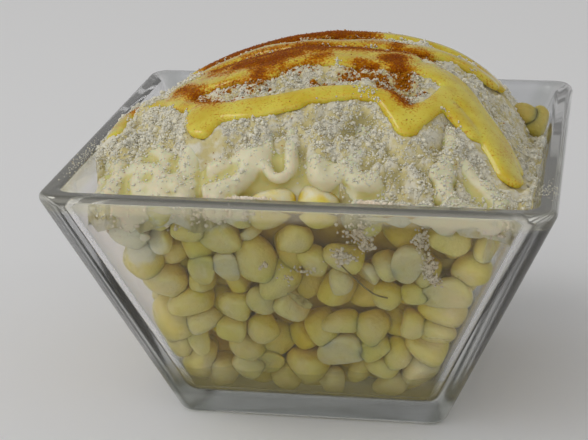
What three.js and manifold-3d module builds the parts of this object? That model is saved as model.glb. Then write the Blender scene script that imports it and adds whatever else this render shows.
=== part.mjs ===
// Esquites: hot white corn in a square glass bowl, heaped above the rim and topped with piped
// mayonnaise, crumbled white cheese and a zigzag of yellow cheese sauce.
// Millimetres, +Z up. The origin is under the middle of the foot, and the front wall faces -Y.

import * as THREE from 'three';
import { ParametricGeometry } from 'three/addons/geometries/ParametricGeometry.js';
import { mergeVertices } from 'three/addons/utils/BufferGeometryUtils.js';
import Module from 'manifold-3d';

// ---------------------------------------------------------------- driving dimensions
const RIM_WIDTH = 116;
const FOOT_WIDTH = 63.7;
const BOWL_HEIGHT = 62;
const WALL = 5.2; // measured level, the same from rim to floor
const FLOOR = 7;
const RIM_CORNER = 6.2;
const FOOT_CORNER = 4;
const INNER_CORNER = 3.2;
const RIM_ROUND = 1.6;
const FOOT_ROUND = 3;
const FLOOR_FILLET = 3;

const GAP = 0.3; // clearance between layers that touch
const WALL_CLEARANCE = 0.4; // the same, taken level across a sloping wall
const BROTH_LEVEL = 13.5;
const CORN_SIDE_GAP = 4; // the kernels stand off the two side walls
const TOPPING_LEFT_GAP = 3;
const CORN_CORNER = 8;
const KERNEL_PITCH = 9.5;
const KERNEL_RELIEF = 0.9;

const MOUND_RISE = 22; // top of the cheese above the rim
const MOUND_TOP_X = 1;
const MOUND_TOP_Y = -2;
const BACK_CORNER_DIP = 14;
const FRONT_CORNER_DIP = 2;
const CORN_DEPTH = 6.4; // top of the kernels below the top of the cheese
const MAYO_DEPTH = 3.4; // valleys between the piped strings below the top of the cheese
const PIPING_PITCH = 11;
const PIPING_HEIGHT = 3.2;

// ---------------------------------------------------------------- closed solids and booleans
const wasm = await Module();
wasm.setup();

/** Welds a closed geometry, drops triangles that have shrunk to a line, and turns its faces out. */
function closed(geometry) {
  geometry.deleteAttribute('normal');
  geometry.deleteAttribute('uv');
  const welded = mergeVertices(geometry, 1e-4);
  const position = welded.attributes.position;
  const index = welded.index.array;
  const corners = [new THREE.Vector3(), new THREE.Vector3(), new THREE.Vector3()];
  const kept = [];
  let volume = 0;
  for (let i = 0; i < index.length; i += 3) {
    const [a, b, c] = [index[i], index[i + 1], index[i + 2]];
    if (a === b || b === c || c === a) continue;
    [a, b, c].forEach((vertex, corner) => corners[corner].fromBufferAttribute(position, vertex));
    volume += corners[0].dot(corners[1].cross(corners[2]));
    kept.push(a, b, c);
  }
  if (volume < 0) kept.reverse();
  welded.setIndex(kept);
  return welded;
}

function toManifold(geometry) {
  const vertProperties = Float32Array.from(geometry.attributes.position.array);
  const triVerts = Uint32Array.from(geometry.index.array);
  return new wasm.Manifold(new wasm.Mesh({ numProp: 3, vertProperties, triVerts }));
}

/** The largest body of a solid, as a geometry: crumbs that a cut leaves over are dropped. */
function largestBody(solid) {
  const bodies = solid.decompose();
  bodies.sort((a, b) => b.volume() - a.volume());
  const mesh = bodies[0].getMesh();
  const geometry = new THREE.BufferGeometry();
  geometry.setAttribute('position', new THREE.BufferAttribute(Float32Array.from(mesh.vertProperties), 3));
  geometry.setIndex(Array.from(mesh.triVerts));
  return geometry;
}

// ---------------------------------------------------------------- the bowl
const WIDEST_Z = BOWL_HEIGHT - 0.6 * RIM_ROUND; // the rim's rounding takes over above this
const outerHalf = (z) => (FOOT_WIDTH + (RIM_WIDTH - FOOT_WIDTH) * (z / WIDEST_Z)) / 2;
const innerHalf = (z) => outerHalf(z) - WALL;
const CORNER_STEPS = 5;

/** A level loop of a square with round corners, as points. */
function squareLoop({ halfX, halfY = halfX, corner, z, x = 0 }) {
  const points = [];
  const quarters = [[1, 1], [-1, 1], [-1, -1], [1, -1]];
  quarters.forEach(([sideX, sideY], quarter) => {
    for (let step = 0; step <= CORNER_STEPS; step++) {
      const angle = (quarter + step / CORNER_STEPS) * (Math.PI / 2);
      points.push(new THREE.Vector3(
        x + sideX * (halfX - corner) + corner * Math.cos(angle),
        sideY * (halfY - corner) + corner * Math.sin(angle),
        z,
      ));
    }
  });
  return points;
}

/** A closed solid through level loops, with a flat cap at each end. */
function loft(loops) {
  const centre = (loop) => {
    const middle = new THREE.Vector3();
    loop.forEach((point) => middle.add(point));
    middle.divideScalar(loop.length);
    return loop.map(() => middle);
  };
  const rows = [centre(loops[0]), ...loops, centre(loops.at(-1))];
  const around = loops[0].length;
  const surface = (u, v, target) => {
    const row = rows[Math.round(v * (rows.length - 1))];
    target.copy(row[Math.round(u * around) % around]);
  };
  return closed(new ParametricGeometry(surface, around, rows.length - 1));
}

/** Steps of a quarter circle: how far it has risen and how far it still stands in, for radius 1. */
function quarterRound(steps) {
  return Array.from({ length: steps + 1 }, (_, step) => {
    const angle = (step / steps) * (Math.PI / 2);
    return { rise: 1 - Math.cos(angle), inset: 1 - Math.sin(angle) };
  });
}

function bowl() {
  const cornerAt = (z) => FOOT_CORNER + (RIM_CORNER - FOOT_CORNER) * (z / BOWL_HEIGHT);
  const foot = quarterRound(3).map(({ rise, inset }) => {
    const z = rise * FOOT_ROUND;
    return squareLoop({ halfX: outerHalf(z) - inset * FOOT_ROUND, corner: cornerAt(z), z });
  });
  const rimOut = quarterRound(3).map(({ rise, inset }) => {
    const z = BOWL_HEIGHT - inset * RIM_ROUND;
    return squareLoop({ halfX: outerHalf(z) - rise * RIM_ROUND, corner: cornerAt(z), z });
  });
  const rimIn = quarterRound(3).reverse().map(({ rise, inset }) => {
    const z = BOWL_HEIGHT - inset * RIM_ROUND;
    return squareLoop({ halfX: innerHalf(z) + rise * RIM_ROUND, corner: INNER_CORNER + rise * RIM_ROUND, z });
  });
  const fillet = quarterRound(3).reverse().map(({ rise, inset }) => {
    const z = FLOOR + rise * FLOOR_FILLET;
    return squareLoop({ halfX: innerHalf(z) - inset * FLOOR_FILLET, corner: INNER_CORNER, z });
  });
  return loft([...foot, ...rimOut, ...rimIn, ...fillet]);
}

/**
 * The space for the toppings: inside the walls, less the clearance, carried on above the rim at the
 * same slope, and standing off the left wall.
 */
function toppingSpace() {
  const corner = INNER_CORNER + RIM_ROUND;
  const shift = TOPPING_LEFT_GAP / 2;
  const at = (z) => {
    const halfY = innerHalf(z) - WALL_CLEARANCE;
    return squareLoop({ halfX: halfY - shift, halfY, corner, z, x: shift });
  };
  return toManifold(loft([at(FLOOR + BOWL_HEIGHT / 2), at(BOWL_HEIGHT + 2 * MOUND_RISE)]));
}

// ---------------------------------------------------------------- the layers of the filling
const smooth = THREE.MathUtils.smoothstep;
const wave = (x, y, pitch) => Math.sin((2 * Math.PI * x) / pitch) * Math.sin((2 * Math.PI * y) / pitch);

/** How far a place lies in one of the four corners: 0 in the middle, 1 in the corner itself. */
const cornerShare = (x, y) => (Math.abs(x * y) / innerHalf(BOWL_HEIGHT) ** 2) ** 1.5;

/** Height of the finished heap: a dome, fuller on the right, that dips into the back corners. */
function moundTop(x, y) {
  const across = (x - MOUND_TOP_X) / (x < MOUND_TOP_X ? 55 : 48);
  const deep = (y - MOUND_TOP_Y) / (y < MOUND_TOP_Y ? 51 : 54);
  const acrossShare = 1 - Math.min(1, Math.abs(across)) ** (x < MOUND_TOP_X ? 1.7 : 3.4);
  const deepShare = 1 - Math.min(1, Math.abs(deep)) ** (y < MOUND_TOP_Y ? 2.5 : 2.2);
  const dip = (y > 0 ? BACK_CORNER_DIP : FRONT_CORNER_DIP) * cornerShare(x, y);
  return BOWL_HEIGHT - 0.5 + MOUND_RISE * acrossShare * deepShare - dip;
}

/** Top of the kernels, with a bump for each of them. */
const cornTop = (x, y) => moundTop(x, y) - CORN_DEPTH + KERNEL_RELIEF * wave(x, y + 2, 2 * KERNEL_PITCH);

/** Top of the mayonnaise, piped in strings that run from front to back and turn at the front. */
function mayoTop(x, y) {
  const across = ((x + 1.5 * Math.sin(y / 9)) / PIPING_PITCH) % 1;
  const share = 2 * Math.abs(((across + 1) % 1) - 0.5);
  const string = Math.sqrt(1 - share ** 2);
  const turn = smooth(y, -49, -43 + 2 * Math.sin(x / 4));
  return moundTop(x, y) - MAYO_DEPTH + PIPING_HEIGHT * string * turn - 2.6 * (1 - turn);
}

/** Top of the crumbled cheese, which leaves the strings bare along the front. */
function cheeseTop(x, y) {
  const frontLeft = (1 - smooth(y, -44, -36)) * (1 - smooth(x, -6, 8));
  const frontRight = Math.exp(-((x - 42) ** 2 + (y + 40) ** 2) / 60);
  const crumble = 0.5 * wave(x + 3, y, 13) + 0.35 * wave(x, y + 2, 7);
  return moundTop(x, y) + crumble - 5 * Math.min(1, frontLeft + frontRight);
}

const sauceBed = (x, y) => Math.max(cheeseTop(x, y), mayoTop(x, y));

/** A block whose top follows a height; every layer shares one grid, so they part cleanly. */
function under(height, lift = 0) {
  const side = 2 * innerHalf(BOWL_HEIGHT) + 6;
  const block = new THREE.BoxGeometry(side, side, 1, 32, 12, 1);
  const position = block.attributes.position;
  for (let i = 0; i < position.count; i++) {
    const top = position.getZ(i) > 0;
    position.setZ(i, top ? height(position.getX(i), position.getY(i)) + lift : -1 - lift);
  }
  return toManifold(closed(block));
}

/** The broth stands in the foot of the bowl, up to its level. */
function broth() {
  const fillet = quarterRound(3).map(({ rise, inset }) => {
    const z = FLOOR + GAP + rise * FLOOR_FILLET;
    return squareLoop({ halfX: innerHalf(z) - WALL_CLEARANCE - inset * FLOOR_FILLET, corner: INNER_CORNER, z });
  });
  const z = BROTH_LEVEL;
  return loft([...fillet, squareLoop({ halfX: innerHalf(z) - WALL_CLEARANCE, corner: INNER_CORNER, z })]);
}

/** The kernels, as one solid out to their uneven outline. */
function corn() {
  const loops = [];
  const from = BROTH_LEVEL + GAP;
  const to = BOWL_HEIGHT + MOUND_RISE;
  const rows = 14;
  for (let row = 0; row <= rows; row++) {
    const z = from + (to - from) * (row / rows);
    const halfY = innerHalf(z) - 2 * GAP;
    const loop = squareLoop({ halfX: halfY - CORN_SIDE_GAP, halfY, corner: CORN_CORNER, z });
    loop.forEach((point, i) => {
      const dent = KERNEL_RELIEF * (1 + Math.sin(2.4 * i + 1.9 * row)) * 0.5;
      point.x -= Math.sign(point.x) * dent;
      point.y -= Math.sign(point.y) * dent * 0.5;
    });
    loops.push(loop);
  }
  return largestBody(toManifold(loft(loops)).intersect(under(cornTop)));
}

function mayonnaise() {
  const body = under(mayoTop).intersect(toppingSpace());
  return largestBody(body.subtract(under(cornTop, GAP)));
}

function crumbledCheese() {
  const bed = (x, y) => Math.max(mayoTop(x, y), cornTop(x, y));
  const body = under(cheeseTop).intersect(toppingSpace());
  return largestBody(body.subtract(under(bed, GAP)));
}

// ---------------------------------------------------------------- the yellow cheese sauce
const SAUCE_THICK = 2.6;

// Each string's way over the heap as level points, and half its width.
const SAUCE_STRINGS = [
  { half: 2.4, way: [[-47.5, -22], [-47, -9], [-36, -16], [-28.5, -25], [-21, -30], [-8, -31.5], [7, -29.5], [16, -28.5]] },
  { half: 4.2, way: [[-24, -28], [-23, -33], [-22, -39]] },
  { half: 3.4, way: [[13, -28.5], [18.7, -30.6], [23.4, -36.6], [28.3, -27.7], [32, -18]] },
  { half: 4.0, way: [[-36, -10], [-30, -14], [-20, -17], [-9, -13.5], [6, -13], [18, -16], [30, -17.5]] },
  { half: 3.9, way: [[27, -17], [34, -20.6], [40.4, -28.3], [47, -37.5]] },
  { half: 3.0, way: [[30, -15], [38.6, -19.4], [44, -25], [48, -31]] },
  { half: 3.2, way: [[-31, -16], [-31, -9], [-27, -3], [-16, 0], [0, -2], [16, -2], [28, 4], [36, 9]] },
  { half: 3.2, way: [[33, 4], [36, 11], [28, 14], [10, 13], [-8, 11], [-24, 10], [-34, 15], [-38, 24], [-36, 30]] },
  { half: 3.0, way: [[-38, 21], [-35, 29], [-20, 31], [-6, 31], [14, 32], [32, 30], [41, 35]] },
];

/** One string: a rounded band laid over the heap, sunk below the surface that it lies on. */
function sauceString({ half, way }) {
  const curve = new THREE.CatmullRomCurve3(way.map(([x, y]) => new THREE.Vector3(x, y, 0)));
  const steps = Math.max(6, Math.round(curve.getLength() / 6));
  const sunk = -3;
  const place = (u, v, target) => {
    const angle = 2 * Math.PI * u;
    const share = Math.sqrt(1 - (2 * v - 1) ** 12);
    curve.getPointAt(v, target);
    const ahead = curve.getTangentAt(v);
    target.x -= ahead.y * half * share * Math.cos(angle);
    target.y += ahead.x * half * share * Math.cos(angle);
    const rise = share * Math.sin(angle) * (angle < Math.PI ? SAUCE_THICK : -sunk);
    target.z = sauceBed(target.x, target.y) + rise;
  };
  return toManifold(closed(new ParametricGeometry(place, 8, steps)));
}

function cheeseSauce() {
  const joined = SAUCE_STRINGS.map(sauceString).reduce((sum, string) => sum.add(string));
  return largestBody(joined.subtract(under(sauceBed, GAP)).intersect(toppingSpace()));
}

// ---------------------------------------------------------------- the scene graph
const food = (color, roughness) => new THREE.MeshStandardMaterial({ color, roughness, metalness: 0 });
const glass = new THREE.MeshStandardMaterial({
  color: 0xdfe5e2,
  roughness: 0.05,
  metalness: 0,
  transparent: true,
  opacity: 0.35,
});

const pieces = {
  bowl: [bowl(), glass],
  broth: [broth(), food(0x9a9058, 0.2)],
  corn: [corn(), food(0xd9d08f, 0.4)],
  mayonnaise: [mayonnaise(), food(0xeee9d6, 0.35)],
  crumbled_cheese: [crumbledCheese(), food(0xf1efe8, 0.9)],
  cheese_sauce: [cheeseSauce(), food(0xe2c53c, 0.3)],
};

const esquites = new THREE.Group();
for (const [name, [geometry, material]] of Object.entries(pieces)) {
  geometry.computeVertexNormals();
  const mesh = new THREE.Mesh(geometry, material);
  mesh.name = name;
  esquites.add(mesh);
}

export default esquites;
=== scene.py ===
import math

import bmesh
import bpy
import numpy as np
from mathutils import Matrix, Vector, noise
from mathutils.bvhtree import BVHTree


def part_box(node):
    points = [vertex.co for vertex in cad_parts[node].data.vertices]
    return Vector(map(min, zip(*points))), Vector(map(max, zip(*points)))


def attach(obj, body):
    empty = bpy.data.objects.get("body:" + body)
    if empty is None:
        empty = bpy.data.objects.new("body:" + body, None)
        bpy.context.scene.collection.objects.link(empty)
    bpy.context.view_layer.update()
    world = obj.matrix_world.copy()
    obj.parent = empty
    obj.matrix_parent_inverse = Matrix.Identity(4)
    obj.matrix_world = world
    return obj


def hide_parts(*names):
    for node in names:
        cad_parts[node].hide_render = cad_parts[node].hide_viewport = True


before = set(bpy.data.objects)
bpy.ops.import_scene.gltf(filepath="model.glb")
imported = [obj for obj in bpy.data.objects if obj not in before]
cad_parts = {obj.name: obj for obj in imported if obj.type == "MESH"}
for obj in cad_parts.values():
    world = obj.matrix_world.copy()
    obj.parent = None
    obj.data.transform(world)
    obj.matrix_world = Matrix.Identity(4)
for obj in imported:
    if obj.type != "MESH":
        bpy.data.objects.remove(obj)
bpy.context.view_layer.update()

# ---------------------------------------------------------------- camera, floor and light
# The bowl stands on a plain pale floor under a broad soft light, seen from a little above its
# front right. The sky is brighter overhead and to the front left, so the thick glass has grey edges.
MM = 0.001
CAMERA_PLACE = Vector((0.0680, -0.4430, 0.1917))
CAMERA_YAW = math.radians(-9.84)
CAMERA_PITCH = math.radians(18.75)
CAMERA_ROLL = math.radians(-0.88)
CAMERA_LENS = 116.95  # mm on the 36 mm sensor
FLOOR_HALF = 3.0
SKY_TOP = 0.40
SKY_SIDE = 0.38
SKY_FRONT = 0.60  # how much brighter the sky is towards the front left


def placed(name, data):
    """A new object in the scene."""
    made = bpy.data.objects.new(name, data)
    bpy.context.scene.collection.objects.link(made)
    return made


def plug(tree, value, slot):
    """Links a socket into a slot, or sets the slot to a plain number or colour."""
    if isinstance(value, Value):
        tree.links.new(value.socket, slot)
    elif isinstance(value, tuple):
        slot.default_value = (*value, 1)[:len(slot.default_value)]
    else:
        slot.default_value = value


class Value:
    """A shader socket that can be added to, multiplied and compared like a number."""

    def __init__(self, tree, socket):
        self.tree = tree
        self.socket = socket

    def math(self, operation, *others):
        node = self.tree.nodes.new("ShaderNodeMath")
        node.operation = operation
        for slot, term in zip(node.inputs, [self, *others]):
            plug(self.tree, term, slot)
        return Value(self.tree, node.outputs[0])

    def __add__(self, other):
        return self.math("ADD", other)

    def __sub__(self, other):
        return self.math("SUBTRACT", other)

    def __mul__(self, other):
        return self.math("MULTIPLY", other)

    def larger(self, other):
        return self.math("MAXIMUM", other)

    def size(self):
        return self.math("ABSOLUTE")

    def parts(self):
        """The X, Y and Z of a vector socket."""
        node = self.tree.nodes.new("ShaderNodeSeparateXYZ")
        plug(self.tree, self, node.inputs[0])
        return [Value(self.tree, output) for output in node.outputs]

    def ramp(self, low, high):
        """0 at low and 1 at high, held outside them and smooth between."""
        node = self.tree.nodes.new("ShaderNodeMapRange")
        node.interpolation_type = "SMOOTHSTEP"
        for slot, value in (("Value", self), ("From Min", low), ("From Max", high)):
            plug(self.tree, value, node.inputs[slot])
        return Value(self.tree, node.outputs[0])


class Finish:
    """A material: its Principled shader, and the nodes that vary its colour, roughness and relief."""

    def __init__(self, name, **constants):
        self.material = bpy.data.materials.new(name)
        self.material.use_nodes = True
        self.tree = self.material.node_tree
        self.shader = self.tree.nodes["Principled BSDF"]
        for slot, value in constants.items():
            self.set(slot.replace("_", " "), value)

    def set(self, slot, value):
        plug(self.tree, value, self.shader.inputs[slot])

    def node(self, kind, output=0, **sockets):
        node = self.tree.nodes.new(kind)
        for name, value in sockets.items():
            plug(self.tree, value, node.inputs[name])
        return Value(self.tree, node.outputs[output])

    def place(self):
        return self.node("ShaderNodeTexCoord", "Object")

    def noise(self, per_metre, detail=3.0, roughness=0.5):
        return self.node("ShaderNodeTexNoise", Vector=self.place(), Scale=per_metre, Detail=detail,
                         Roughness=roughness)

    def speckle(self, per_metre, strength, detail=3.0):
        """Noise to both sides of 0."""
        return (self.noise(per_metre, detail) - 0.5) * strength

    def attribute(self, name):
        mark = self.node("ShaderNodeAttribute", "Fac")
        mark.socket.node.attribute_name = name
        return mark

    def mix(self, share, low, high):
        node = self.tree.nodes.new("ShaderNodeMix")
        node.data_type = "RGBA"
        for slot, value in (("Factor", share), (6, low), (7, high)):
            plug(self.tree, value, node.inputs[slot])
        return Value(self.tree, node.outputs[2])

    def layers(self, colour, *coats):
        """A colour with others laid over it in turn, each given as its share and itself."""
        for share, over in coats:
            colour = self.mix(share, colour, over)
        return colour

    def light_passes(self):
        """Lets light through as through a clear pane, so that what stands inside is lit."""
        both = self.tree.nodes.new("ShaderNodeMixShader")
        plug(self.tree, self.node("ShaderNodeLightPath", "Is Shadow Ray"), both.inputs[0])
        self.tree.links.new(self.shader.outputs[0], both.inputs[1])
        plug(self.tree, self.node("ShaderNodeBsdfTransparent", Color=(0.88, 0.90, 0.88)), both.inputs[2])
        self.tree.links.new(both.outputs[0], self.tree.nodes["Material Output"].inputs["Surface"])

    def bump(self, height, depth):
        """Relief on the surface: depth is in metres for a height from 0 to 1."""
        self.set("Normal", self.node("ShaderNodeBump", "Normal", Distance=depth, Height=height))


def soft_light(name, place, aim, size, watts):
    data = bpy.data.lights.new(name, "AREA")
    data.shape = "DISK"
    data.size = size
    data.energy = watts
    light = placed(name, data)
    light.location = place
    light.rotation_euler = (Vector(aim) - Vector(place)).to_track_quat("-Z", "Y").to_euler()


camera_data = bpy.data.cameras.new("camera")
camera_data.lens = CAMERA_LENS
camera_data.clip_start = 0.01
camera = placed("camera", camera_data)
ahead = Vector((
    math.sin(CAMERA_YAW) * math.cos(CAMERA_PITCH),
    math.cos(CAMERA_YAW) * math.cos(CAMERA_PITCH),
    -math.sin(CAMERA_PITCH),
))
level = ahead.to_track_quat("-Z", "Y").to_matrix().to_4x4()
camera.matrix_world = Matrix.Translation(CAMERA_PLACE) @ level @ Matrix.Rotation(CAMERA_ROLL, 4, "Z")
bpy.context.scene.camera = camera
bpy.context.scene.view_settings.view_transform = "Standard"

floor_mesh = bpy.data.meshes.new("floor")
floor_corners = [(x * FLOOR_HALF, y * FLOOR_HALF, 0) for x, y in ((-1, -1), (1, -1), (1, 1), (-1, 1))]
floor_mesh.from_pydata(floor_corners, [], [(0, 1, 2, 3)])
floor_finish = Finish("floor", Roughness=0.9, Base_Color=(0.85, 0.85, 0.86))
floor_mesh.materials.append(floor_finish.material)
placed("floor", floor_mesh)

world = bpy.data.worlds.new("studio")
bpy.context.scene.world = world
world.use_nodes = True
sky = world.node_tree
background = sky.nodes["Background"]
toward = Value(sky, sky.nodes.new("ShaderNodeTexCoord").outputs["Generated"]).parts()
lift = toward[2].ramp(0.05, 0.75)
front_left = (toward[1] * -0.8 - toward[0] * 0.6).ramp(-0.1, 0.9)
plug(sky, lift * (SKY_TOP - SKY_SIDE) + front_left * SKY_FRONT + SKY_SIDE, background.inputs["Strength"])
background.inputs["Color"].default_value = (1.0, 0.995, 0.98, 1)

soft_light("key light", (-0.60, -0.15, 0.85), (0, 0, 0.05), 0.45, 1.4)
soft_light("small light on the right", (0.75, -0.10, 0.70), (0, 0, 0.05), 0.22, 0.25)

# ---------------------------------------------------------------- the glass bowl
# A square tapered dessert bowl of thick pressed glass, clear with a faint grey-green cast. It is
# pressed in one piece, with its corners and edges melted round.
WALL = 5.2 * MM
FLOOR_THICK = 7.0 * MM
FOOT_HALF = 31.85 * MM
RIM_ROUND = 1.6 * MM
FOOT_ROUND = 2.4 * MM
FLOOR_FILLET = 3.0 * MM
FOOT_CORNER = 4.0 * MM
RIM_CORNER = 6.2 * MM
INNER_CORNER = 3.4 * MM
LEAST_CORNER = 1.0 * MM
ROUND_STEPS = 6

bowl_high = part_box("bowl")[1]
RIM_Z = bowl_high.z
RIM_HALF = bowl_high.x + 0.1 * MM
WIDEST_Z = RIM_Z - 0.6 * RIM_ROUND
SLOPE = (RIM_HALF - FOOT_HALF) / WIDEST_Z  # how far the walls lean out for each metre of height
LEAN = math.atan(SLOPE)
LEAN_REACH = 1 / math.cos(LEAN)


def outer_half(z):
    return FOOT_HALF + SLOPE * z


def inner_half(z):
    return outer_half(z) - WALL


def arc(middle, z, radius, start, end):
    """Half widths and heights round part of a circle; the angles are 0 outwards and 90 degrees up."""
    angles = [start + (end - start) * step / ROUND_STEPS for step in range(ROUND_STEPS + 1)]
    return [(middle + radius * math.cos(angle), z + radius * math.sin(angle)) for angle in angles]


def inner_ring(half, z):
    """A ring of the inner wall, as lofted takes it."""
    return half, max(INNER_CORNER + half - inner_half(z), LEAST_CORNER), z


def resize(face, old, new):
    """Moves a round-cornered square face from one (half width, corner radius, z) to another."""
    for vert in face.verts:
        spot = []
        for value in vert.co[:2]:
            middle = math.copysign(old[0] - old[1], value)
            spot.append(math.copysign(new[0] - new[1], value) + (value - middle) / old[1] * new[1])
        vert.co = (*spot, new[2])


def finished(form, name):
    """The mesh of a bmesh, which is freed."""
    bmesh.ops.recalc_face_normals(form, faces=form.faces[:])
    mesh = bpy.data.meshes.new(name)
    form.to_mesh(mesh)
    form.free()
    return mesh


def lofted(name, rings):
    """A closed shell through round-cornered squares, each (half width, corner radius, z)."""
    form = bmesh.new()
    bmesh.ops.create_grid(form, x_segments=1, y_segments=1, size=1.0)
    bmesh.ops.bevel(
        form, geom=form.verts[:], offset=0.5, offset_type="OFFSET", segments=ROUND_STEPS, profile=0.5,
        affect="VERTICES", clamp_overlap=True, material=-1,
    )
    face = form.faces[:][0]
    now = (1.0, 0.5, 0.0)
    for ring in rings:
        resize(face, now, ring)
        now = ring
        if ring is not rings[-1]:
            face = bmesh.ops.extrude_discrete_faces(form, faces=[face])["faces"][0]
    bmesh.ops.holes_fill(form, edges=[edge for edge in form.edges if edge.is_boundary], sides=0)
    return finished(form, name)


def shown(name, mesh, finish):
    """A new piece of the object, made from a mesh in the row frame, riding on the one body."""
    piece = placed(name, mesh)
    mesh.materials.clear()
    mesh.materials.append(finish.material)
    mesh.polygons.foreach_set("use_smooth", [True] * len(mesh.polygons))
    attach(piece, "root")
    return piece


rim_turn = RIM_Z - RIM_ROUND
floor_turn = FLOOR_THICK + FLOOR_FILLET
outside = arc(outer_half(FOOT_ROUND) - FOOT_ROUND * LEAN_REACH, FOOT_ROUND, FOOT_ROUND, -math.pi / 2, -LEAN)
outside += arc(outer_half(rim_turn) - RIM_ROUND * LEAN_REACH, rim_turn, RIM_ROUND, -LEAN, math.pi / 2)
inside = arc(inner_half(rim_turn) + RIM_ROUND * LEAN_REACH, rim_turn, RIM_ROUND, math.pi / 2, math.pi - LEAN)
floor_middle = inner_half(floor_turn) - FLOOR_FILLET * LEAN_REACH
inside += arc(floor_middle, floor_turn, FLOOR_FILLET, -LEAN, -math.pi / 2)
bowl_rings = []
for half, z in outside:
    corner = FOOT_CORNER + (RIM_CORNER - FOOT_CORNER) * z / RIM_Z
    bowl_rings.append((half, max(corner - (outer_half(z) - half), LEAST_CORNER), z))
bowl_rings += [inner_ring(half, z) for half, z in inside]
bowl_mesh = lofted("glass_bowl", bowl_rings)

glass = Finish("pressed glass", Transmission_Weight=0.98, IOR=1.5, Specular_Tint=(0.28, 0.27, 0.16),
               Coat_Roughness=0.25, Coat_IOR=1.6)
place_x, place_y, place_z = glass.place().parts()
across = place_x.size()
deep = place_y.size()
by_corner = (across - deep).size().ramp(6.5 * MM, 2.5 * MM)
from_axis = across.larger(deep) - place_z * SLOPE
inward = from_axis.ramp(FOOT_HALF - WALL * 0.6, FOOT_HALF - WALL * 0.8)
side = (across - deep).ramp(-4 * MM, 6 * MM) * 0.9
strip = (across - deep).ramp(-19 * MM, -12 * MM) * place_y.ramp(0.0, -20 * MM)
front_rim = place_z.ramp(RIM_Z - 5 * MM, RIM_Z - 3 * MM) * place_y.ramp(0.0, -30 * MM)
foot_corner = by_corner * place_z.ramp(22 * MM, 10 * MM)
foot_end = (across - deep).ramp(-12 * MM, -5 * MM) * place_x.ramp(-18 * MM, -26 * MM)
foot_end = foot_end * place_z.ramp(14 * MM, 9 * MM)
# Painted shade: the glass is painted dark grey at its corners, deepest towards their outer side, and at the
# foot corners and the foot ends.
painted_corner_shade = (by_corner * (inward * 0.35 + 0.1)).larger(foot_corner * 0.95).larger(foot_end * 0.9)
# The glass is painted darker grey towards the back as painted shade, clearer on the side walls and by the
# front corners as painted light, and lighter along the front rim as a painted highlight. It is also greyer
# through the thick base.
glass.set("Base Color", glass.layers(
    glass.mix(glass.noise(30.0), (0.84, 0.855, 0.80), (0.89, 0.90, 0.86)),
    (place_y.ramp(30 * MM, 50 * MM), (0.66, 0.67, 0.69)),
    (side.larger(strip), (0.99, 0.98, 0.99)),
    (place_z.ramp(13 * MM, 7 * MM) * 0.6, (0.78, 0.80, 0.79)),
    (front_rim, (0.99, 0.97, 0.85)),
    (painted_corner_shade, (0.34, 0.36, 0.32)),
))
# The front rim is also a little metallic, to brighten its painted highlight with reflection.
glass.set("Metallic", front_rim * 0.14)
clouded = glass.noise(90.0, detail=5.0).ramp(0.45, 0.75) * 0.04 + 0.02
glass.set("Roughness", by_corner.larger(place_z.ramp(9 * MM, 6 * MM)) * 0.2 + clouded)
edges = place_z.ramp(RIM_Z - 2.5 * MM, RIM_Z - 1.0 * MM).larger(place_z.ramp(6.5 * MM, 5.0 * MM))
glass.set("Coat Weight", edges * 0.95)
glass.bump(glass.noise(45.0, detail=1.0), 0.06 * MM)
glass.light_passes()
bowl = shown("glass_bowl", bowl_mesh, glass)
flatter = bowl.modifiers.new("flat walls", "WEIGHTED_NORMAL")
flatter.mode = "FACE_AREA"
flatter.weight = 100
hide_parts("bowl")

# ---------------------------------------------------------------- the corn kernels
# Large white corn, boiled soft: blunt wedges, wet and slightly see-through. They are poured in loose,
# lie as they fall against the glass, and stand off its two side walls.
KERNEL_HALVES = np.array([4.6, 3.9, 4.9]) * MM  # half width, half thickness, half length
SLICED_HALVES = np.array([5.4, 4.0, 6.6]) * MM
KERNEL_COUNT = 430
KERNEL_SHAPES = 12
CUT_SHAPES = 2  # the last of the shapes have lost a slice
CAGE_ROOM = 1.25  # the cage is this much larger than the smooth kernel in it
HEAP_DEPTH = 15.0 * MM  # kernels fill this much behind the glass; a plain core lies inside
FOOT_DEPTH = 9.0 * MM  # and this much over the floor of the bowl
RIGHT_GAP = 3.2 * MM
LEFT_GAP = -2.9 * MM  # at the height of the foot
LEFT_WIDENING = 0.165  # and this much more for each metre up
HEAP_FOOT = 0.5 * MM  # the finished heap starts this much under the rim
HEAP_RISE = 22 * MM
UNDER_TOPPINGS = 5.5 * MM  # the kernels end this much below it
POUR_ROUNDS = 130
START_SIZE = 0.55  # a kernel is poured in at this share of its size
GROWTH = 0.45  # and gains the rest
GROWN_AT = 0.6  # by this share of the rounds
TOUCHING = 0.87  # soft kernels press together to this share of their reach
NEIGHBOURS = 12 * MM  # kernels further apart can't touch
SINKING = 0.05 * MM  # in each round

# Kernels that stand above the rim in front and by the back right corner, in mm.
RIM_KERNELS = [
    (-13.0, -47.6, 58.0), (-5.5, -47.4, 58.6), (4.6, -47.0, 59.6), (16.8, -47.6, 57.2), (-31.0, -47.4, 57.0),
    (46.5, 17.5, 62.2), (49.6, 16.5, 61.6), (37.0, 6.0, 70.2),
]
# Sliced kernels with the flat side against the front glass: place across, height, tilt in degrees, size.
SLICED_KERNELS = [
    (33.1, 38.8, 82, 1.0), (7.9, 20.5, 70, 1.0), (-22.6, 42.7, 5, 0.75), (-16.8, 43.6, -15, 0.7),
    (24.6, 46.5, 20, 0.9),
]
HELD = len(RIM_KERNELS) + len(SLICED_KERNELS)  # these stay where they are put
SLICED = slice(len(RIM_KERNELS), HELD)
chance = np.random.default_rng(11)


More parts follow.
